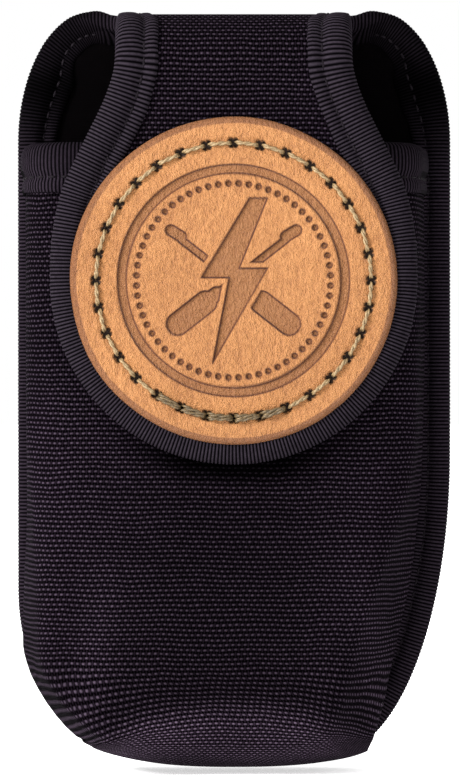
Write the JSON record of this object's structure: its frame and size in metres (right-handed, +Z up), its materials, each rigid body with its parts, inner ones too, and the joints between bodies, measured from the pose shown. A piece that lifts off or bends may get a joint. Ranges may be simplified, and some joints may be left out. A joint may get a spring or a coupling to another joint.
{
  "type": "electrician tool pouch",
  "caption": "Belt pouch of padded black woven nylon: boxed pocket, round fold-over flap with a stitched leather patch, hook-and-loop closure, belt loop and spring clip behind.",
  "frame": {"origin": "centre of the pocket's flat base, halfway between the pocket's sides", "axes": "+Z up towards the flap's fold, +Y to the back where the belt loop and clip are, +X to the right seen from the front"},
  "size_m": [0.095, 0.064, 0.1665],
  "materials": {
    "outer_nylon": "coarse ballistic weave, matt",
    "lining_nylon": "fine plain weave, matt",
    "padding_foam": "closed-cell foam, matt",
    "binding_tape": "ribbed grosgrain tape, slight sheen",
    "tan_leather": "vegetable-tanned, burnished edge",
    "waxed_thread": "twisted waxed thread",
    "black_thread": "bonded nylon thread",
    "loop_pile": "napped loop pile",
    "hook_nylon": "moulded hook tape",
    "webbing": "heavy nylon webbing",
    "black_spring_steel": "black oxide, satin",
    "rivet_steel": "black oxide, satin"
  },
  "bodies": {
    "pouch": {"back_outer_cloth": "outer_nylon", "back_padding": "padding_foam", "back_lining": "lining_nylon", "edge_binding": "binding_tape", "pocket_outer_cloth": "outer_nylon", "pocket_padding": "padding_foam", "pocket_lining": "lining_nylon", "mouth_binding": "binding_tape", "loop_tape": "loop_pile", "belt_loop": "webbing", "belt_loop_stitching": "black_thread", "clip_base": "black_spring_steel", "clip_rivets": "rivet_steel"},
    "flap_neck": {"neck_outer_cloth": "outer_nylon", "neck_padding": "padding_foam", "neck_lining": "lining_nylon", "neck_binding": "binding_tape"},
    "flap_front": {"flap_outer_cloth": "outer_nylon", "flap_padding": "padding_foam", "flap_lining": "lining_nylon", "flap_binding": "binding_tape", "leather_patch": "tan_leather", "patch_stitching": "waxed_thread", "hook_tape": "hook_nylon"},
    "clip_tongue": {"clip_tongue": "black_spring_steel"}
  },
  "joints": [
    {"name": "flap_lift", "type": "hinge", "parent": "pouch", "child": "flap_neck", "pos_m": [0, 0.0144, 0.1624], "axis": [-1, 0, 0], "range_deg": [0, 110]},
    {"name": "flap_unfold", "type": "hinge", "parent": "flap_neck", "child": "flap_front", "pos_m": [0, -0.01781, 0.16111], "axis": [-1, 0, 0], "range_deg": [0, 90]},
    {"name": "clip_flex", "type": "hinge", "parent": "pouch", "child": "clip_tongue", "pos_m": [0, 0.0307, 0.132], "axis": [1, 0, 0], "range_deg": [0, 6], "stiffness_Nm_per_rad": 6}
  ]
}
